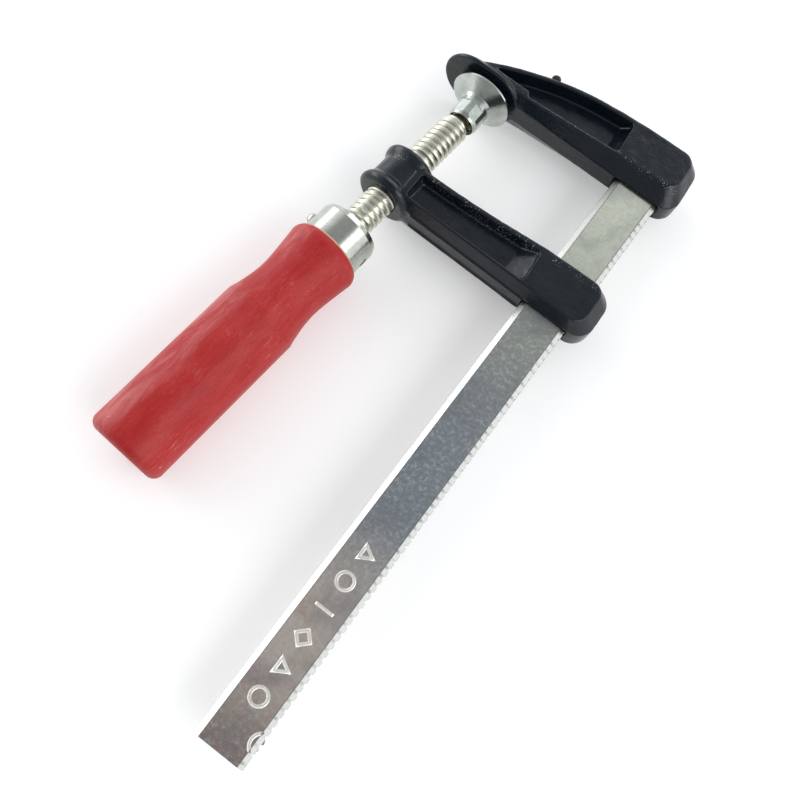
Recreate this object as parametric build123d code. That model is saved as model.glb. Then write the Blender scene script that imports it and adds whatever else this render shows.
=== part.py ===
from build123d import *
import math
import os

# F clamp, 50 mm throat, lying on its side: the F is in the XY plane and +Z is up.
# The origin is the centre of the fixed jaw's clamping face. The bar runs along Y,
# from the fixed jaw at +Y to its free end at -Y, and the arms reach from the bar to -X.

# ---------------------------------------------------------------- driving dimensions (mm)
BAR_WIDTH = 15.0
BAR_THICKNESS = 5.0
BAR_CENTRE_X = 56.0            # throat plus half the bar
BAR_HEAD_Y = 19.0              # bar end, just under the back of the fixed jaw
BAR_FREE_Y = -192.0
EDGE_STRIP = 1.6               # sloped strip along the bar's long edges, seen from above
EDGE_DROP = 1.1
NOTCH_PITCH = 2.5              # serration of the outer edge, which the sliding jaw bites on
NOTCH_DEPTH = 0.4
NOTCH_MOUTH = 1.3
NOTCH_FLOOR = 0.6
NOTCHES_START_Y = -3.0
NOTCH_COUNT = 75
STAKE_Y = -185.0               # crescent punch that stops the sliding jaw
STAKE_RADIUS = 3.0
STAKE_SWELL = 0.4              # how far the punch pushes the edge out
SWELL_RADIUS = 4.0
MARK_DEPTH = 0.35              # sloped grooves, so a stroke is wider at the top than at its floor
MARK_SIZE = 4.9
MARK_STROKE = 0.3
MARK_LEAN = 45
MARK_PITCH = 8.6
MARK_LAST_Y = -176.5

JAW_HALF = 7.5                 # half thickness of both castings
CORE_HALF = 3.3                # half thickness of the square middle of their edges
ROOT_CORNER = 5.5              # corner radius of their root ends, in plan
FACE_CORNER = 4.0              # the same, at the flat faces
RIM_WALL = 1.5                 # flange left standing around their pockets
FIXED_BACK_Y = 19.6
FIXED_END_X = 68.6
FIXED_WEB_HALF = 2.6
FIXED_RAMP = (40.3, 45.4)      # the pocket's floor slopes up between these X
RELIEF = 0.6                   # step round the bar where it enters the jaw
WINDOW_DEPTH = 1.0             # opening in the back of the jaw, where the bar's end shows
ANVIL_RADIUS = 10.3            # rounded boss that carries the clamping face at the tip
ANVIL_STRETCH = 6.2            # between the centres of its two round ends
ANVIL_CENTRE_X = -1.1
ANVIL_THICKNESS = 4.0
ANVIL_BACK_SLOPE = (3.4, 2.9)  # in from the edge, and forward from the back
ANVIL_FRONT_CHAMFER = 0.4
NUB_RADIUS = 1.5               # casting stub on the back of the arm
NUB_LENGTH = 6.0
NUB_HALF = 5.5
NUB_PLACE = (16.4, 13.4)
NUB_TILT = 105

SLIDE_LOW_Y = -50.4
SLIDE_HIGH_Y = -33.4
SLIDE_END_X = 69.5
SLIDE_WEB_HALF = 3.5
SLIDE_RAMP = (39.0, 46.2)
SLOT_CLEARANCE = 0.3
BEAD_PROUD = 0.5               # parting bead along the sliding jaw's lower flange
BEAD_SUNK = 0.2
BEAD_WIDTH = 0.9
BOSS_RIM_RADIUS = 9.1
BOSS_WAIST_RADIUS = 7.7
BOSS_LENGTH = 14.6
BOSS_CENTRE = -35.2            # along the screw, from the ball
BOSS_RIM_WIDTH = 2.9
BOSS_COVE = 1.3                # from a rim to the waist

SCREW_LEAN = 4.6               # degrees, from the bar's direction towards the bar
BALL_X = 1.1
BALL_Y = -7.0
THREAD_RADIUS = 4.75
THREAD_ROOT = 4.0
THREAD_LEAD = 2.0
THREAD_CLEARANCE = 0.1
THREAD_FRONT = -8.2
THREAD_MARGIN = 0.8            # from a turned end of the screw to the middle of the ridge
CORE_BACK = -58.2
BALL_RADIUS = 3.0
STEM_RADIUS = 2.1
TANG_RADIUS = 3.2
TANG_BACK = -92.0

PAD_RADIUS = 9.9
PAD_FACE = 4.8                 # clamping face, from the ball
PAD_BACK = -6.6
PAD_NECK_RADIUS = 4.9
PAD_MOUTH_RADIUS = 4.3
PAD_ACROSS_FLATS = 9.3         # six crimped flats on the neck
PAD_FLATS_END = -1.0
SOCKET_CLEARANCE = 0.08

COLLAR_RADIUS = 2.7
COLLAR_FRONT = -6.0
COLLAR_BACK = -8.0

FERRULE_RADIUS = 9.6
FERRULE_WALL = 0.9
FERRULE_FRONT = -54.9
SEAM = -65.0                   # where ferrule and handle meet
HANDLE_LENGTH = 79.5
HANDLE_SPIGOT_RADIUS = FERRULE_RADIUS - FERRULE_WALL
PIN_RADIUS = 1.4
PIN_POSITION = -61.0
PIN_HEAD_RADIUS = 1.9
PIN_PROUD = 1.8
PIN_GAP = 0.02                 # under the rivet head

# ---------------------------------------------------------------- derived places
BAR_INNER_X = BAR_CENTRE_X - BAR_WIDTH / 2
BAR_OUTER_X = BAR_CENTRE_X + BAR_WIDTH / 2
BAR_LENGTH = BAR_HEAD_Y - BAR_FREE_Y
LEAN = math.radians(SCREW_LEAN)
SCREW = Plane(origin=(BALL_X, BALL_Y, 0), x_dir=(0, 0, 1), z_dir=(math.sin(LEAN), math.cos(LEAN), 0))
PAD_FRAME = Plane(origin=(BALL_X, BALL_Y, 0), x_dir=(0, 0, 1), z_dir=(0, 1, 0))


def turned(profile, frame):
    """A solid of revolution from (radius, height) points, stood on a frame's axis."""
    face = make_face(Plane.XZ * Polyline(*profile, close=True))
    return frame.location * revolve(face, Axis.Z)


def rounded(outline, corners, radius):
    """The outline with the corners nearest to the given points rounded."""
    for corner in corners:
        outline = fillet(outline.vertices().sort_by_distance((*corner, 0))[0], radius)
    return outline


def jaw_outline(near_left, near_right, far_right, far_edge, radius):
    """A casting in plan: straight near edge and root end, and a far edge that curves back to the tip."""
    tip_run = Vector(*far_edge[-1]) - Vector(*far_edge[-2])
    back_run = Vector(*far_edge[0]) - Vector(*far_right)
    straight = Polyline(far_edge[-1], near_left, near_right, far_right, far_edge[0])
    curve = Spline(*far_edge, tangents=[back_run.normalized(), tip_run.normalized()])
    return rounded(make_face(straight + curve), [near_right, far_right], radius)


def cast_block(core, top):
    """A casting: square between the parting lines, and sloped from there to its two flat faces."""
    upper = loft([Pos(0, 0, CORE_HALF) * core, Pos(0, 0, JAW_HALF) * top], ruled=True)
    return extrude(core, amount=CORE_HALF, both=True) + upper + mirror(upper, Plane.XY)


def both_pockets(outline, web_half, ramp):
    """The two hollows above and below a web. Their floors slope up at the root end."""
    start, end = ramp
    slope = make_face(Plane.XZ * Polyline((start, web_half), (end, web_half), (end, JAW_HALF), close=True))
    upper = Pos(0, 0, web_half) * extrude(outline, amount=JAW_HALF - web_half)
    upper = upper - extrude(slope, amount=BAR_LENGTH, both=True)
    return [upper, mirror(upper, Plane.XY)]


def pin_hole():
    """The hole for the cross pin, across the screw, in the screw's own axes."""
    return Pos(0, 0, PIN_POSITION) * Rot(90, 0, 0) * Cylinder(PIN_RADIUS, 4 * FERRULE_RADIUS)


# ---------------------------------------------------------------- bar
def notch(y):
    """One serration across the bar's outer edge: a narrow floor and two sloped sides."""
    floor_x = BAR_OUTER_X - NOTCH_DEPTH
    outside_x = BAR_OUTER_X + NOTCH_DEPTH
    reach = NOTCH_MOUTH - NOTCH_FLOOR / 2      # half width as far outside as the floor is inside
    outline = Polyline((outside_x, y - reach), (floor_x, y - NOTCH_FLOOR / 2), (floor_x, y + NOTCH_FLOOR / 2),
                       (outside_x, y + reach), close=True)
    return extrude(make_face(outline), amount=BAR_THICKNESS, both=True)


def groove(outline, x, y):
    """A punched line with sloped sides, in the bar's upper face."""
    cut = extrude(outline, amount=MARK_DEPTH, taper=-MARK_LEAN)
    return Pos(x, y, BAR_THICKNESS / 2 - MARK_DEPTH) * cut


def polygon_line(sides):
    """A regular polygon drawn as a line of the marks' stroke width."""
    inner = MARK_SIZE / 2 - MARK_STROKE / math.cos(math.pi / sides)
    return RegularPolygon(MARK_SIZE / 2, sides) - RegularPolygon(inner, sides)


def bar_section():
    side = BAR_WIDTH / 2
    face = BAR_THICKNESS / 2
    corner = [(side - EDGE_STRIP, face), (side, face - EDGE_DROP)]
    right = corner + [(x, -z) for x, z in reversed(corner)]
    left = [(-x, z) for x, z in reversed(right)]
    return make_face(Polyline(*right, *left, close=True))


def make_bar():
    bar = Pos(BAR_CENTRE_X, BAR_HEAD_Y, 0) * extrude(Plane.XZ * bar_section(), amount=BAR_LENGTH)
    swell = Pos(BAR_OUTER_X + STAKE_SWELL - SWELL_RADIUS, STAKE_Y) * Circle(SWELL_RADIUS)
    bar = bar + extrude(swell, amount=BAR_THICKNESS / 2 - EDGE_DROP, both=True)
    ring = Circle(MARK_SIZE / 2) - Circle(MARK_SIZE / 2 - MARK_STROKE)
    dash = Rectangle(MARK_SIZE, MARK_STROKE)
    marks = [ring, polygon_line(3), polygon_line(4), dash, ring, polygon_line(3)]
    grooves = [groove(mark, BAR_CENTRE_X, MARK_LAST_Y + i * MARK_PITCH) for i, mark in enumerate(marks)]
    crescent = Circle(STAKE_RADIUS) - Circle(STAKE_RADIUS - MARK_STROKE)
    grooves.append(groove(crescent, BAR_OUTER_X, STAKE_Y))
    notches = [notch(NOTCHES_START_Y - i * NOTCH_PITCH) for i in range(NOTCH_COUNT)]
    return bar - notches - grooves


# ---------------------------------------------------------------- fixed jaw
def make_anvil():
    """The tip boss: its flat front is the clamping face, and its back edge is sloped."""
    slot = Pos(ANVIL_CENTRE_X, 0) * SlotCenterToCenter(ANVIL_STRETCH, 2 * ANVIL_RADIUS)
    boss = extrude(Plane.XZ * slot, amount=-ANVIL_THICKNESS)
    back = boss.faces().filter_by(Axis.Y).sort_by(Axis.Y)[-1]
    inward, forward = ANVIL_BACK_SLOPE
    boss = chamfer(back.edges(), inward, forward, reference=back)
    front = boss.faces().filter_by(Axis.Y).sort_by(Axis.Y)[0]
    return chamfer(front.edges(), ANVIL_FRONT_CHAMFER)


def make_fixed_jaw():
    core_far = [(50, 19.1), (40, 18.2), (30, 17.0), (20, 14.9), (10, 11.5), (0, 6.9), (-6, 3.6)]
    top_far = [(50, 17.8), (40, 17.2), (30, 16.1), (20, 14.0), (10, 10.6), (0, 6.1), (-5, 3.2)]
    core = jaw_outline((-6, 0), (FIXED_END_X, 0), (FIXED_END_X - 1.2, FIXED_BACK_Y), core_far, ROOT_CORNER)
    top = jaw_outline((-5, 0.3), (64.8, 5.0), (64.2, 18.2), top_far, FACE_CORNER)
    body = cast_block(core, top) + make_anvil()
    pocket_far = [(x, y - RIM_WALL) for x, y in top_far[1:-1]]
    right_far = (43.4, pocket_far[0][1] + 0.2)
    right_near = (44.3, 4.8)
    left_near = (13.4, 2.7)
    anvil_corner = (12.4, ANVIL_THICKNESS + 0.3)
    tip = (3.4, ANVIL_THICKNESS + 0.3)
    pocket = make_face(Polyline(pocket_far[-1], tip, anvil_corner, left_near, right_near, right_far, pocket_far[0])
                       + Spline(*pocket_far))
    pocket = rounded(pocket, [right_near, right_far], 1.2)
    nub = extrude(Pos(*NUB_PLACE) * SlotOverall(NUB_LENGTH, 2 * NUB_RADIUS, rotation=NUB_TILT),
                  amount=NUB_HALF, both=True)
    body = body + nub - both_pockets(pocket, FIXED_WEB_HALF, FIXED_RAMP)
    tunnel = Pos(BAR_CENTRE_X, 0) * Box(BAR_WIDTH, 2 * BAR_HEAD_Y, BAR_THICKNESS)
    relief = Pos(BAR_CENTRE_X, 0) * Box(BAR_WIDTH + 2 * RELIEF, 2 * RELIEF, BAR_THICKNESS + 2 * RELIEF)
    window = Pos(BAR_CENTRE_X, FIXED_BACK_Y) * Box(BAR_WIDTH, 2 * WINDOW_DEPTH, BAR_THICKNESS)
    return body - tunnel - relief - window


# ---------------------------------------------------------------- sliding jaw
def make_boss():
    """The spool that the screw runs through: two rounded rims and a narrower waist."""
    half = BOSS_LENGTH / 2
    rim = BOSS_RIM_RADIUS
    cove = half - BOSS_RIM_WIDTH
    upper = [(BOSS_WAIST_RADIUS, cove - BOSS_COVE), (BOSS_WAIST_RADIUS + 0.5, cove - BOSS_COVE / 2),
             (rim - 0.4, cove), (rim, half - 1.6), (rim - 0.3, half - 0.7), (rim - 1.3, half)]
    lower = [(radius, -height) for radius, height in reversed(upper)]
    return SCREW.location * Pos(0, 0, BOSS_CENTRE) * turned([(0, -half), *lower, *upper, (0, half)], Plane.XY)


def make_sliding_jaw():
    core_far = [(48, -33.9), (36, -34.9), (20, -36.1), (2, -36.6)]
    top_far = [(48, -34.9), (36, -35.8), (20, -36.9), (2, -37.4)]
    near_left = (2, -49.2)
    near_right = (SLIDE_END_X, SLIDE_LOW_Y)
    core = jaw_outline(near_left, near_right, (SLIDE_END_X - 0.3, SLIDE_HIGH_Y), core_far, ROOT_CORNER)
    top = jaw_outline((2, -47.7), (65.8, -48.6), (65.6, -34.5), top_far, FACE_CORNER)
    body = cast_block(core, top)
    recess_far = [(44.6, -36.9), (36, -37.4), (20, -38.4), (4.2, -38.8)]
    recess_near = [(4.2, -47.0), (45.4, -47.3)]
    recess = make_face(Polyline(recess_far[-1], *recess_near, recess_far[0]) + Spline(*recess_far))
    recess = rounded(recess, [recess_far[0], *recess_near], 1.2)
    bead_start = Vector(8, SLIDE_LOW_Y + 1.1 + BEAD_SUNK)
    bead_end = Vector(BAR_INNER_X - 0.5, SLIDE_LOW_Y + 0.4 + BEAD_SUNK)
    drop = Vector(0, -BEAD_SUNK - BEAD_PROUD)
    strip = make_face(Polyline(bead_start, bead_start + drop, bead_end + drop, bead_end, close=True))
    bead = Pos(0, 0, CORE_HALF - BEAD_WIDTH) * extrude(strip, amount=BEAD_WIDTH)
    pockets = both_pockets(recess, SLIDE_WEB_HALF, SLIDE_RAMP)
    body = body - pockets + [bead, mirror(bead, Plane.XY), make_boss()]
    slot_width = BAR_WIDTH + 2 * SLOT_CLEARANCE
    slot_height = BAR_THICKNESS + 2 * SLOT_CLEARANCE
    slot = Pos(BAR_CENTRE_X, (SLIDE_LOW_Y + SLIDE_HIGH_Y) / 2) * Box(slot_width, 2 * BAR_WIDTH, slot_height)
    bore = SCREW.location * Pos(0, 0, BOSS_CENTRE) * Cylinder(THREAD_RADIUS + THREAD_CLEARANCE, 2 * BOSS_LENGTH)
    return body - slot - bore


# ---------------------------------------------------------------- screw
def thread_ridge():
    """A rounded ridge swept along the helix, its foot inside the core."""
    foot = 0.92                    # half widths of the ridge, from its foot to its crest
    shoulder = 0.78
    crest = 0.36
    sunk = -0.3
    start_height = FERRULE_FRONT + THREAD_MARGIN
    length = THREAD_FRONT - THREAD_MARGIN - start_height
    path = Helix(THREAD_LEAD, length, THREAD_ROOT)
    start = Plane(origin=path @ 0, x_dir=(1, 0, 0), z_dir=path % 0)
    height = THREAD_RADIUS - THREAD_ROOT
    bend = height / 2
    profile = Polyline((sunk, -foot), (bend, -shoulder), (height, -crest), (height, crest), (bend, shoulder),
                       (sunk, foot), close=True)
    ridge = sweep(start * make_face(profile), path=path, is_frenet=True)
    return Pos(0, 0, start_height) * ridge


def make_spindle():
    core = [(0, TANG_BACK), (TANG_RADIUS, TANG_BACK), (TANG_RADIUS, CORE_BACK), (THREAD_ROOT, CORE_BACK),
            (THREAD_ROOT, THREAD_FRONT), (STEM_RADIUS, THREAD_FRONT), (STEM_RADIUS, 0), (0, 0)]
    body = turned(core, Plane.XY) + Sphere(BALL_RADIUS)
    body = body + thread_ridge()
    return SCREW.location * (body - pin_hole())


def make_collar():
    hole = STEM_RADIUS + SOCKET_CLEARANCE
    ring = [(hole, COLLAR_BACK), (COLLAR_RADIUS, COLLAR_BACK), (COLLAR_RADIUS, COLLAR_FRONT), (hole, COLLAR_FRONT)]
    return turned(ring, SCREW)


def make_pad():
    """The swivel pad: a dished flange, a neck crimped round the ball, and the ball's socket."""
    socket = BALL_RADIUS + SOCKET_CLEARANCE
    throat = 2.9                   # narrower than the ball, so that the pad stays on
    outside = [(0, PAD_FACE), (PAD_RADIUS - 0.4, PAD_FACE), (PAD_RADIUS, PAD_FACE - 0.4), (PAD_RADIUS, 3.9),
               (5.6, 1.3), (PAD_NECK_RADIUS, 0.4), (PAD_NECK_RADIUS, PAD_BACK + 1.3),
               (PAD_MOUTH_RADIUS + 0.1, PAD_BACK)]
    inside = [(PAD_MOUTH_RADIUS, PAD_BACK), (PAD_MOUTH_RADIUS, -4.4), (throat, -2.2), (throat, 0), (0, 0)]
    pad = turned(outside + inside, Plane.XY) - Sphere(socket)
    neck_zone = Pos(0, 0, (PAD_BACK + PAD_FLATS_END) / 2) * Cylinder(2 * PAD_NECK_RADIUS, PAD_FLATS_END - PAD_BACK)
    hexagon = RegularPolygon(PAD_ACROSS_FLATS / 2, 6, major_radius=False)
    flats = Pos(0, 0, PAD_BACK) * extrude(hexagon, amount=PAD_FLATS_END - PAD_BACK)
    return PAD_FRAME.location * (pad - (neck_zone - flats))


# ---------------------------------------------------------------- handle
def make_ferrule():
    wall = FERRULE_WALL
    outer = FERRULE_RADIUS
    hole = THREAD_ROOT
    cap = [(hole, FERRULE_FRONT), (outer - 2.2, FERRULE_FRONT), (outer - 0.6, FERRULE_FRONT - 0.6),
           (outer, FERRULE_FRONT - 2.2), (outer, SEAM), (outer - wall, SEAM), (outer - wall, FERRULE_FRONT - 2.4),
           (outer - 2.3, FERRULE_FRONT - wall), (hole, FERRULE_FRONT - wall)]
    return SCREW.location * (turned(cap, Plane.XY) - pin_hole())


def make_handle():
    spigot = HANDLE_SPIGOT_RADIUS
    back = SEAM - HANDLE_LENGTH
    body = Line((0, back), (8.6, back))
    body += ThreePointArc((8.6, back), (10.8, back + 0.9), (11.6, back + 3.2))
    body += Line((11.6, back + 3.2), (11.6, SEAM - 28))
    body += Spline((11.6, SEAM - 28), (10.7, SEAM - 24), (9.95, SEAM - 18), (10.5, SEAM - 9.5), (11.2, SEAM - 4))
    body += ThreePointArc((11.2, SEAM - 4), (10.9, SEAM - 1.3), (9.7, SEAM))
    body += Polyline((9.7, SEAM), (spigot, SEAM), (spigot, FERRULE_FRONT - 3), (spigot - 1.4, CORE_BACK),
                     (0, CORE_BACK), (0, back))
    grip = revolve(make_face(Plane.XZ * body), Axis.Z)
    grip = grip - Pos(0, 0, (TANG_BACK + CORE_BACK) / 2) * Cylinder(TANG_RADIUS, CORE_BACK - TANG_BACK)
    return SCREW.location * (grip - pin_hole())


def make_cross_pin():
    """The pin's domed rivet head stands proud on the side away from the bar."""
    seat = FERRULE_RADIUS + PIN_GAP
    tail = FERRULE_RADIUS - 0.3
    top = seat + PIN_PROUD
    slant = math.sqrt(0.5)
    dome = ThreePointArc((0, -top), (PIN_HEAD_RADIUS * slant, -seat - PIN_PROUD * slant), (PIN_HEAD_RADIUS, -seat))
    shank = Polyline((PIN_HEAD_RADIUS, -seat), (PIN_RADIUS, -seat), (PIN_RADIUS, tail), (0, tail), (0, -top))
    pin = revolve(make_face(Plane.XZ * (dome + shank)), Axis.Z)
    across = Plane(origin=(0, 0, PIN_POSITION), x_dir=(1, 0, 0), z_dir=(0, 1, 0))
    return SCREW.location * across.location * pin


def main():
    os.makedirs("parts", exist_ok=True)
    makers = {
        "bar": make_bar,
        "fixed_jaw": make_fixed_jaw,
        "sliding_jaw": make_sliding_jaw,
        "spindle": make_spindle,
        "ball_collar": make_collar,
        "swivel_pad": make_pad,
        "ferrule": make_ferrule,
        "handle": make_handle,
        "cross_pin": make_cross_pin,
    }
    for name, make in makers.items():
        solid = make()
        export_step(solid, f"parts/{name}.step")
        print(name, len(solid.solids()), round(solid.volume, 1))


main()
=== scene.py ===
import math

import bpy
from mathutils import Matrix, Vector


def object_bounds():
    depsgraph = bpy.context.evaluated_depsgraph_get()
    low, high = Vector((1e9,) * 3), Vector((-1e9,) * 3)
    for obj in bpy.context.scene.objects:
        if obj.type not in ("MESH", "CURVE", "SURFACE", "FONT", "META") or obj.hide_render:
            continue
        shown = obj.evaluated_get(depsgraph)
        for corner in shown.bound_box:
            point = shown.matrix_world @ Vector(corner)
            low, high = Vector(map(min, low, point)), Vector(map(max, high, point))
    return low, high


MM = 0.001

# The camera, in the frame's axes: where it looks, from how far and at what angle.
TARGET = Vector((38.3, -94.5, 0.0)) * MM
DISTANCE = 233.3 * MM
AZIMUTH = math.radians(16.24)
ELEVATION = math.radians(73.67)
ROLL = math.radians(21.18)
FIELD = 800 / 853.3                 # image width over focal length
SENSOR = 36.0

# How bright the light tent is.
TOP_GLOW = 0.42
SIDE_GLOW = 0.95
BACK_GLOW = 0.35

# Places on the parts that the finishes follow.
BAR_CENTRE_X = 56.0 * MM
STRIP_FROM = 5.9 * MM                # from the bar's middle to the sloped strips along its edges
STRIP_TO = 7.5 * MM
NOTCH_START = -3.0 * MM
NOTCH_PITCH = 2.5 * MM
SCREW_LEAN = math.radians(4.6)
# These three are in axes turned by the screw's lean, so that the handle lies along Y.
HANDLE_ACROSS = 1.65 * MM
HANDLE_SEAM = -71.9 * MM
HANDLE_END = -151.4 * MM

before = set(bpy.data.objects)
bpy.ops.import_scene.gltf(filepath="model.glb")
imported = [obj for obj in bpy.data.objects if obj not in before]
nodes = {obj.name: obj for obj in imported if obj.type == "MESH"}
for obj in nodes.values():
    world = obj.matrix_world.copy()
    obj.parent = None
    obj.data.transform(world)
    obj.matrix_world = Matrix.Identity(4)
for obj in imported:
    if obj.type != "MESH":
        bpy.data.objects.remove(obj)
cad_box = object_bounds()
scene = bpy.context.scene


def feed(tree, socket, value):
    """Links an output socket, or sets a plain value."""
    if isinstance(value, bpy.types.NodeSocket):
        tree.links.new(value, socket)
    elif isinstance(value, tuple) and len(value) == 3 and socket.type == "RGBA":
        socket.default_value = (*value, 1)
    else:
        socket.default_value = value


# ---------------------------------------------------------------- camera, floor and lights
def make_camera():
    """A perspective camera above the bar's free end, turned so that the bar runs up to the right."""
    back = Vector((math.cos(ELEVATION) * math.sin(AZIMUTH),
                   -math.cos(ELEVATION) * math.cos(AZIMUTH), math.sin(ELEVATION)))
    level = (-back).cross(Vector((0, 0, 1))).normalized()
    rise = level.cross(-back)
    right = math.cos(ROLL) * level + math.sin(ROLL) * rise
    up = -math.sin(ROLL) * level + math.cos(ROLL) * rise
    data = bpy.data.cameras.new("camera")
    data.sensor_width = SENSOR
    data.lens = SENSOR / FIELD
    data.clip_start = 0.01
    data.clip_end = 20
    camera = bpy.data.objects.new("camera", data)
    scene.collection.objects.link(camera)
    turn = Matrix((right, up, back)).transposed()
    camera.matrix_world = Matrix.Translation(TARGET + DISTANCE * back) @ turn.to_4x4()
    scene.camera = camera


def make_floor(height):
    """A pale floor that glows a little, so that shadows on it stay soft and light."""
    size = 3.0
    mesh = bpy.data.meshes.new("floor")
    corners = [(-size, -size, height), (size, -size, height), (size, size, height), (-size, size, height)]
    mesh.from_pydata(corners, [], [(0, 1, 2, 3)])
    floor = bpy.data.objects.new("floor", mesh)
    scene.collection.objects.link(floor)
    surface = bpy.data.materials.new("floor")
    surface.use_nodes = True
    shader = surface.node_tree.nodes["Principled BSDF"]
    shader.inputs["Base Color"].default_value = (0.80, 0.80, 0.80, 1)
    shader.inputs["Emission Color"].default_value = (1, 1, 1, 1)
    shader.inputs["Emission Strength"].default_value = 0.28
    shader.inputs["Roughness"].default_value = 0.9
    shader.inputs["Specular IOR Level"].default_value = 0.1
    mesh.materials.append(surface)


def area_light(name, place, aim, width, height, power):
    data = bpy.data.lights.new(name, "AREA")
    data.shape = "RECTANGLE"
    data.size = width
    data.size_y = height
    data.energy = power
    lamp = bpy.data.objects.new(name, data)
    scene.collection.objects.link(lamp)
    lamp.location = place
    lamp.rotation_mode = "QUATERNION"
    lamp.rotation_quaternion = (Vector(place) - Vector(aim)).to_track_quat("Z", "Y")


def make_tent():
    """The light tent as a sky: bright side walls, a lighter back wall and a dim top."""
    world = bpy.data.worlds.new("tent")
    scene.world = world
    world.use_nodes = True
    tree = world.node_tree
    direction = tree.nodes.new("ShaderNodeTexCoord").outputs["Generated"]
    split = tree.nodes.new("ShaderNodeSeparateXYZ")
    feed(tree, split.inputs["Vector"], direction)
    side = tree.nodes.new("ShaderNodeMath")
    side.operation = "ABSOLUTE"
    feed(tree, side.inputs[0], split.outputs["X"])
    total = TOP_GLOW
    for source, start, end, glow in ((side.outputs["Value"], 0.32, 0.85, SIDE_GLOW),
                                     (split.outputs["Y"], 0.25, 0.75, BACK_GLOW)):
        ramp = tree.nodes.new("ShaderNodeMapRange")
        ramp.interpolation_type = "SMOOTHSTEP"
        feed(tree, ramp.inputs["Value"], source)
        ramp.inputs["From Min"].default_value = start
        ramp.inputs["From Max"].default_value = end
        ramp.inputs["To Max"].default_value = glow
        joined = tree.nodes.new("ShaderNodeMath")
        feed(tree, joined.inputs[0], ramp.outputs["Result"])
        feed(tree, joined.inputs[1], total)
        total = joined.outputs["Value"]
    background = tree.nodes["Background"]
    feed(tree, background.inputs["Color"], (0.96, 0.98, 1.0))
    feed(tree, background.inputs["Strength"], total)


def make_lights():
    make_tent()
    scene.view_settings.view_transform = "Standard"
    aim = (0.02, -0.08, 0.0)
    area_light("left", (-0.9, -0.05, 0.28), aim, 1.0, 0.4, 3.2)
    area_light("right", (0.75, -0.1, 0.7), aim, 1.0, 0.5, 3.0)
    area_light("behind", (0.05, 0.9, 0.55), aim, 0.8, 0.4, 1.6)


# ---------------------------------------------------------------- material building
class Graph:
    """A material's node tree, with short calls for the nodes that every finish needs."""

    def __init__(self, name):
        self.material = bpy.data.materials.new(name)
        self.material.use_nodes = True
        self.tree = self.material.node_tree
        self.shader = self.tree.nodes["Principled BSDF"]
        self.place = self.add("ShaderNodeTexCoord").outputs["Object"]

    def add(self, kind, **settings):
        node = self.tree.nodes.new(kind)
        for key, value in settings.items():
            setattr(node, key, value)
        return node

    def feed(self, socket, value):
        feed(self.tree, socket, value)

    def mapped(self, scale, turn=(0, 0, 0), source=None):
        node = self.add("ShaderNodeMapping")
        self.feed(node.inputs["Vector"], source or self.place)
        node.inputs["Scale"].default_value = scale
        node.inputs["Rotation"].default_value = turn
        return node.outputs["Vector"]

    def noise(self, scale, detail=3.0, rough=0.55, source=None, warp=0.0):
        node = self.add("ShaderNodeTexNoise")
        self.feed(node.inputs["Vector"], source or self.place)
        node.inputs["Scale"].default_value = scale
        node.inputs["Detail"].default_value = detail
        node.inputs["Roughness"].default_value = rough
        node.inputs["Distortion"].default_value = warp
        return node.outputs["Fac"]

    def cells(self, scale, source=None):
        node = self.add("ShaderNodeTexVoronoi")
        self.feed(node.inputs["Vector"], source or self.place)
        node.inputs["Scale"].default_value = scale
        return node.outputs["Distance"]

    def span(self, value, low, high, start=0.0, end=1.0):
        """Maps low..high to start..end, clamped."""
        node = self.add("ShaderNodeMapRange")
        self.feed(node.inputs["Value"], value)
        for key, number in (("From Min", low), ("From Max", high), ("To Min", start), ("To Max", end)):
            node.inputs[key].default_value = number
        return node.outputs["Result"]

    def math(self, operation, a, b=0.0):
        node = self.add("ShaderNodeMath", operation=operation)
        self.feed(node.inputs[0], a)
        self.feed(node.inputs[1], b)
        return node.outputs["Value"]

    def times(self, a, b):
        return self.math("MULTIPLY", a, b)

    def plus(self, a, b):
        return self.math("ADD", a, b)

    def apart(self, a, b):
        """The distance between two values."""
        return self.math("ABSOLUTE", self.math("SUBTRACT", a, b))

    def mix(self, amount, a, b):
        node = self.add("ShaderNodeMix", data_type="RGBA")
        self.feed(node.inputs["Factor"], amount)
        self.feed(node.inputs["A"], a)
        self.feed(node.inputs["B"], b)
        return node.outputs["Result"]

    def bump(self, height, depth, strength, after=None):
        node = self.add("ShaderNodeBump")
        self.feed(node.inputs["Height"], height)
        node.inputs["Distance"].default_value = depth
        node.inputs["Strength"].default_value = strength
        if after is not None:
            self.feed(node.inputs["Normal"], after)
        return node.outputs["Normal"]

    def axis(self, name):
        node = self.add("ShaderNodeSeparateXYZ")
        self.feed(node.inputs["Vector"], self.place)
        return node.outputs[name]

    def finish(self, **inputs):
        for key, value in inputs.items():
            self.feed(self.shader.inputs[key.replace("_", " ")], value)
        return self.material


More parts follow.
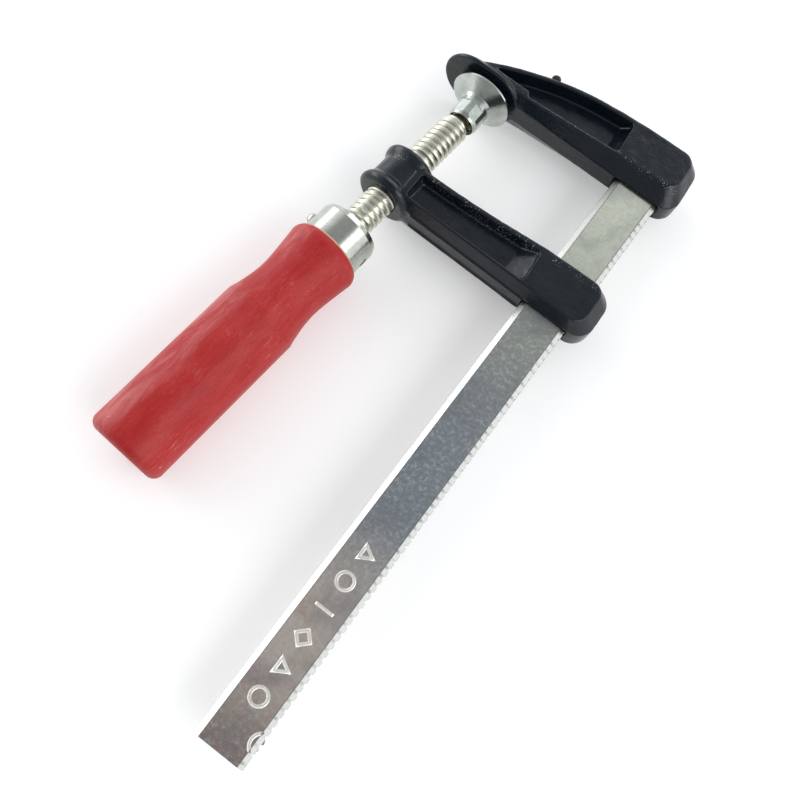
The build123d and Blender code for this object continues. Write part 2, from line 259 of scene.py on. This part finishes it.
def cast_black(name, glint_start, glint_end):
    """Thick paint on a rough casting: bluish black and grainy, with painted highlight specks along a line in
    plan, where the flat face meets the sloped edge.
    """
    g = Graph(name)
    cloud = g.noise(90, 4, 0.6)
    colour = g.mix(g.span(cloud, 0.35, 0.65), (0.0022, 0.0056, 0.0100), (0.0056, 0.0100, 0.0150))
    grain = g.noise(1500, 3, 0.6)
    colour = g.mix(g.span(grain, 0.55, 0.75, 0.0, 0.6), colour, (0.016, 0.022, 0.029))
    # Painted highlight: pale specks along the line where the flat face meets the sloped edge, and a few
    # scattered elsewhere, standing in for glints on the paint.
    line = g.span(g.axis("X"), glint_start[0], glint_end[0], glint_start[1], glint_end[1])
    beside = g.apart(g.axis("Y"), line)
    glint_trail = g.span(beside, 0.3 * MM, 1.4 * MM, 1.0, 0.0)
    glint_trail = g.times(glint_trail, g.span(g.noise(220, 3, 0.6), 0.42, 0.60))
    glint_trail = g.plus(glint_trail, g.span(g.noise(60, 2, 0.5), 0.70, 0.76, 0.0, 0.2))
    speck = g.times(g.span(g.cells(1500), 0.16, 0.34, 1.0, 0.0), glint_trail)
    colour = g.mix(g.times(speck, 0.75), colour, (0.30, 0.34, 0.36))
    rough = g.span(g.noise(260, 3, 0.6), 0.3, 0.7, 0.16, 0.27)
    lumps = g.bump(g.noise(430, 3, 0.5, warp=0.3), 0.00006, 0.6)
    fine = g.bump(grain, 0.00007, 0.7, after=lumps)
    return g.finish(Base_Color=colour, Roughness=rough, Normal=fine, Specular_IOR_Level=0.40)


def bar_steel():
    """Bright zinc on flat bar: cloudy tarnish, fine drawn lines, scratches and brighter edge strips, with
    painted light: reflection tints along its length, shade lines at the strips' borders and in the notches,
    and highlight in the stamped marks.
    """
    g = Graph("bar_steel")
    along = g.axis("Y")
    side = g.apart(g.axis("X"), BAR_CENTRE_X)
    strip = g.span(side, STRIP_FROM - 0.1 * MM, STRIP_FROM + 0.1 * MM)
    lines = g.noise(1.0, 4, 0.6, source=g.mapped((2600, 40, 900)))
    cloud = g.noise(70, 6, 0.68, warp=0.3)
    mottle = g.noise(850, 6, 0.78)
    # Painted reflection: the face's tone changes along the bar, pale near the fixed jaw, blue-grey in the
    # middle, pale and warm lower down and dark brown at the free end.
    colour = g.mix(g.span(along, -26 * MM, -46 * MM), (0.69, 0.72, 0.60), (0.43, 0.45, 0.40))
    colour = g.mix(g.span(along, -55 * MM, -95 * MM), colour, (0.36, 0.40, 0.435))
    colour = g.mix(g.span(along, -122 * MM, -150 * MM), colour, (0.80, 0.70, 0.62))
    colour = g.mix(g.span(along, -168 * MM, -182 * MM), colour, (0.56, 0.46, 0.41))
    colour = g.mix(g.span(along, -182 * MM, -191 * MM), colour, (0.40, 0.335, 0.30))
    # Painted reflection: a warm pinkish patch on the lower part of the face.
    warm_reflection = g.span(g.noise(95, 3, 0.6), 0.45, 0.62)
    warm_reflection = g.times(warm_reflection, g.span(along, -135 * MM, -155 * MM, 0.0, 0.55))
    colour = g.mix(warm_reflection, colour, (0.56, 0.40, 0.36))
    colour = g.mix(g.span(mottle, 0.49, 0.64, 0.0, 0.65), colour, (0.70, 0.73, 0.74))
    colour = g.mix(g.span(cloud, 0.46, 0.64, 0.0, 0.48), colour, (0.20, 0.22, 0.25))
    colour = g.mix(g.span(lines, 0.55, 0.80, 0.0, 0.25), colour, (0.20, 0.21, 0.22))
    colour = g.mix(strip, colour, (0.52, 0.525, 0.505))
    # Painted shade: dark lines where the face meets the sloped strips and along the strips' outer edges.
    inner = g.span(g.apart(side, STRIP_FROM), 0.08 * MM, 0.20 * MM, 0.75, 0.0)
    outer = g.span(side, STRIP_TO - 0.12 * MM, STRIP_TO - 0.04 * MM, 0.0, 0.6)
    border_shade = g.math("MAXIMUM", inner, outer)
    colour = g.mix(border_shade, colour, (0.16, 0.165, 0.16))
    # Painted shade: dark dashes in the notches along the toothed edge, stronger towards their roots.
    tooth = g.math("FRACT", g.math("DIVIDE", g.math("SUBTRACT", along, NOTCH_START), NOTCH_PITCH))
    notch_shade = g.span(g.apart(tooth, 0.5), 0.30, 0.37)
    toothed = g.span(g.axis("X"), BAR_CENTRE_X, BAR_CENTRE_X + 1 * MM)
    notch_shade = g.times(g.times(notch_shade, toothed), strip)
    rooted = g.span(side, STRIP_FROM + 0.5 * MM, STRIP_FROM + 0.9 * MM, 1.0, 0.35)
    notch_shade = g.times(notch_shade, g.times(rooted, g.span(g.noise(330, 2), 0.36, 0.56)))
    colour = g.mix(g.times(notch_shade, 0.7), colour, (0.16, 0.16, 0.15))
    # Painted highlight: the inside of the stamped marks is painted near white, standing in for the light on
    # their sloped walls.
    height = g.axis("Z")
    sunk = g.times(g.span(height, 2.47 * MM, 2.43 * MM), g.span(height, 2.0 * MM, 2.1 * MM))
    mark = g.times(sunk, g.math("SUBTRACT", 1.0, strip))
    colour = g.mix(mark, colour, (0.96, 0.95, 0.91))
    streak = g.cells(1.0, source=g.mapped((1500, 90, 300), (0, 0, 0.5)))
    scratch = g.times(g.span(streak, 0.0, 0.045, 1.0, 0.0), g.span(g.noise(130, 2), 0.52, 0.60))
    across = g.cells(1.0, source=g.mapped((120, 1700, 300), (0, 0, 0.35)))
    scrape = g.times(g.span(across, 0.0, 0.04, 1.0, 0.0), g.span(g.noise(150, 2), 0.60, 0.68))
    marked = g.math("MAXIMUM", scratch, scrape)
    colour = g.mix(g.times(marked, 0.6), colour, (0.90, 0.92, 0.93))
    rough = g.plus(g.span(cloud, 0.3, 0.7, 0.18, 0.30), g.span(mottle, 0.3, 0.7, 0.0, 0.12))
    rough = g.plus(rough, g.times(mark, 0.12))
    relief = g.bump(lines, 0.000015, 0.5)
    relief = g.bump(mottle, 0.00003, 0.6, after=relief)
    relief = g.bump(marked, 0.00003, 0.6, after=relief)
    return g.finish(Base_Color=colour, Metallic=1.0, Roughness=rough, Normal=relief)


def bright_plate(name, light, dull):
    """Turned and bright-plated steel: smudges, pits and a satin haze."""
    g = Graph(name)
    smudge = g.noise(170, 5, 0.65)
    pits = g.noise(900, 3, 0.6)
    colour = g.mix(g.span(smudge, 0.35, 0.7), light, dull)
    colour = g.mix(g.span(pits, 0.60, 0.75, 0.0, 0.4), colour, (0.26, 0.27, 0.26))
    streak = g.span(g.cells(1.0, source=g.mapped((1400, 140, 900), (0, 0.3, 0.4))), 0.0, 0.05, 1.0, 0.0)
    streak = g.times(streak, g.span(g.noise(260, 2), 0.55, 0.62))
    colour = g.mix(g.times(streak, 0.5), colour, (0.86, 0.88, 0.86))
    rough = g.span(smudge, 0.3, 0.7, 0.13, 0.24)
    relief = g.bump(pits, 0.00003, 0.5)
    relief = g.bump(streak, 0.00002, 0.5, after=relief)
    return g.finish(Base_Color=colour, Metallic=1.0, Roughness=rough, Normal=relief)


def screw_steel():
    """Rolled, plated thread: pale warm metal with dull smudges."""
    g = Graph("screw_steel")
    smudge = g.noise(300, 4, 0.65)
    grime = g.span(g.noise(1100, 3, 0.6), 0.52, 0.72, 0.0, 0.5)
    colour = g.mix(g.span(smudge, 0.3, 0.7), (0.80, 0.79, 0.70), (0.60, 0.595, 0.51))
    colour = g.mix(grime, colour, (0.34, 0.33, 0.27))
    rough = g.span(smudge, 0.3, 0.7, 0.22, 0.36)
    relief = g.bump(g.noise(1400, 2, 0.5), 0.00003, 0.5)
    return g.finish(Base_Color=colour, Metallic=1.0, Roughness=rough, Normal=relief)


def collar_brass():
    """Dull brass with small smudges."""
    g = Graph("collar_brass")
    smudge = g.noise(500, 3, 0.6)
    colour = g.mix(g.span(smudge, 0.3, 0.7), (0.62, 0.56, 0.38), (0.42, 0.38, 0.27))
    relief = g.bump(g.noise(2000, 2, 0.5), 0.00002, 0.5)
    rough = g.span(smudge, 0.3, 0.7, 0.25, 0.4)
    return g.finish(Base_Color=colour, Metallic=1.0, Roughness=rough, Normal=relief)


def red_wood():
    """Red lacquer over turned wood: grain along the grip, pale worn streaks laid mostly on one side as
    painted sheen, scuffs and chips.
    """
    g = Graph("red_wood")
    inline = g.mapped((1, 1, 1), (0, 0, SCREW_LEAN))
    split = g.add("ShaderNodeSeparateXYZ")
    g.feed(split.inputs["Vector"], inline)
    across = split.outputs["X"]
    along = split.outputs["Y"]
    grain = g.noise(1.0, 5, 0.68, source=g.mapped((1100, 120, 1100), source=inline))
    streak = g.noise(1.0, 5, 0.66, source=g.mapped((260, 60, 260), source=inline), warp=0.5)
    patch = g.noise(75, 5, 0.65)
    speckle = g.noise(2100, 4, 0.75)
    scuff = g.noise(1.0, 5, 0.74, source=g.mapped((1300, 260, 1300), (0, 0, 0.12), source=inline))
    colour = g.mix(g.span(patch, 0.35, 0.65), (0.370, 0.0110, 0.0115), (0.420, 0.0190, 0.0190))
    colour = g.mix(g.span(grain, 0.48, 0.72, 0.0, 0.6), colour, (0.270, 0.0060, 0.0075))
    colour = g.mix(g.span(speckle, 0.52, 0.68, 0.0, 0.36), colour, (0.52, 0.065, 0.062))
    # Pale faded streaks: real wear, laid mostly on the side of lower X as painted sheen where the highlight
    # falls on the grip.
    outer = g.span(across, HANDLE_ACROSS - 1 * MM, HANDLE_ACROSS - 9 * MM, 0.12, 1.0)
    faded_and_sheen = g.times(g.span(streak, 0.44, 0.64, 0.0, 0.6), outer)
    colour = g.mix(faded_and_sheen, colour, (0.64, 0.22, 0.21))
    worn = g.times(g.span(scuff, 0.55, 0.68), g.span(patch, 0.47, 0.62))
    colour = g.mix(g.times(worn, 0.5), colour, (0.62, 0.24, 0.22))
    end = g.span(along, HANDLE_END + 10 * MM, HANDLE_END + 4 * MM)
    chip = g.times(g.span(g.noise(620, 4, 0.6), 0.60, 0.64), g.span(g.noise(110, 2), 0.58, 0.62))
    chip = g.times(chip, end)
    colour = g.mix(chip, colour, (0.50, 0.40, 0.30))
    seam = g.span(along, HANDLE_SEAM - 0.9 * MM, HANDLE_SEAM - 0.3 * MM)
    colour = g.mix(g.times(seam, 0.8), colour, (0.66, 0.52, 0.36))
    rough = g.plus(g.span(patch, 0.3, 0.7, 0.42, 0.54), g.times(worn, 0.12))
    relief = g.bump(grain, 0.00012, 0.6)
    relief = g.bump(speckle, 0.00004, 0.6, after=relief)
    relief = g.bump(g.plus(worn, chip), -0.00006, 0.6, after=relief)
    return g.finish(Base_Color=colour, Roughness=rough, Normal=relief, Specular_IOR_Level=0.28)


# ---------------------------------------------------------------- cast surfaces
def soften(name, voxel, passes, lumps):
    """Rounds a casting's edges and gives its skin the slight waves of sand casting."""
    node = nodes[name]
    remesh = node.modifiers.new("skin", "REMESH")
    remesh.mode = "VOXEL"
    remesh.voxel_size = voxel
    remesh.use_smooth_shade = True
    smooth = node.modifiers.new("edges", "SMOOTH")
    smooth.factor = 0.5
    smooth.iterations = passes
    waves = bpy.data.textures.new(name + "_waves", "CLOUDS")
    waves.noise_scale = 0.004
    waves.noise_depth = 2
    displace = node.modifiers.new("waves", "DISPLACE")
    displace.texture = waves
    displace.texture_coords = "LOCAL"
    displace.strength = lumps
    displace.mid_level = 0.6         # mostly inward, so that the casting stays in its box


# ---------------------------------------------------------------- finishes on the frame's nodes
def dress(name, material):
    node = nodes[name]
    node.data.materials.clear()
    node.data.materials.append(material)


def dress_all():
    # Each jaw's two points set the line of painted highlight specks.
    fixed_black = cast_black("fixed_black", (12.0 * MM, 3.5 * MM), (60.0 * MM, 5.0 * MM))
    sliding_black = cast_black("sliding_black", (5.0 * MM, -38.6 * MM), (66.0 * MM, -35.8 * MM))
    pad_plate = bright_plate("pad_plate", (0.56, 0.59, 0.55), (0.34, 0.37, 0.34))
    cap_plate = bright_plate("cap_plate", (0.55, 0.57, 0.52), (0.40, 0.42, 0.38))
    finishes = {"bar": bar_steel(), "fixed_jaw": fixed_black, "sliding_jaw": sliding_black,
                "spindle": screw_steel(), "ball_collar": collar_brass(), "swivel_pad": pad_plate,
                "ferrule": cap_plate, "cross_pin": cap_plate, "handle": red_wood()}
    for name, material in finishes.items():
        dress(name, material)


make_camera()
make_floor(cad_box[0].z)
make_lights()
dress_all()
for casting in ("fixed_jaw", "sliding_jaw"):
    soften(casting, 0.28 * MM, 4, 0.18 * MM)
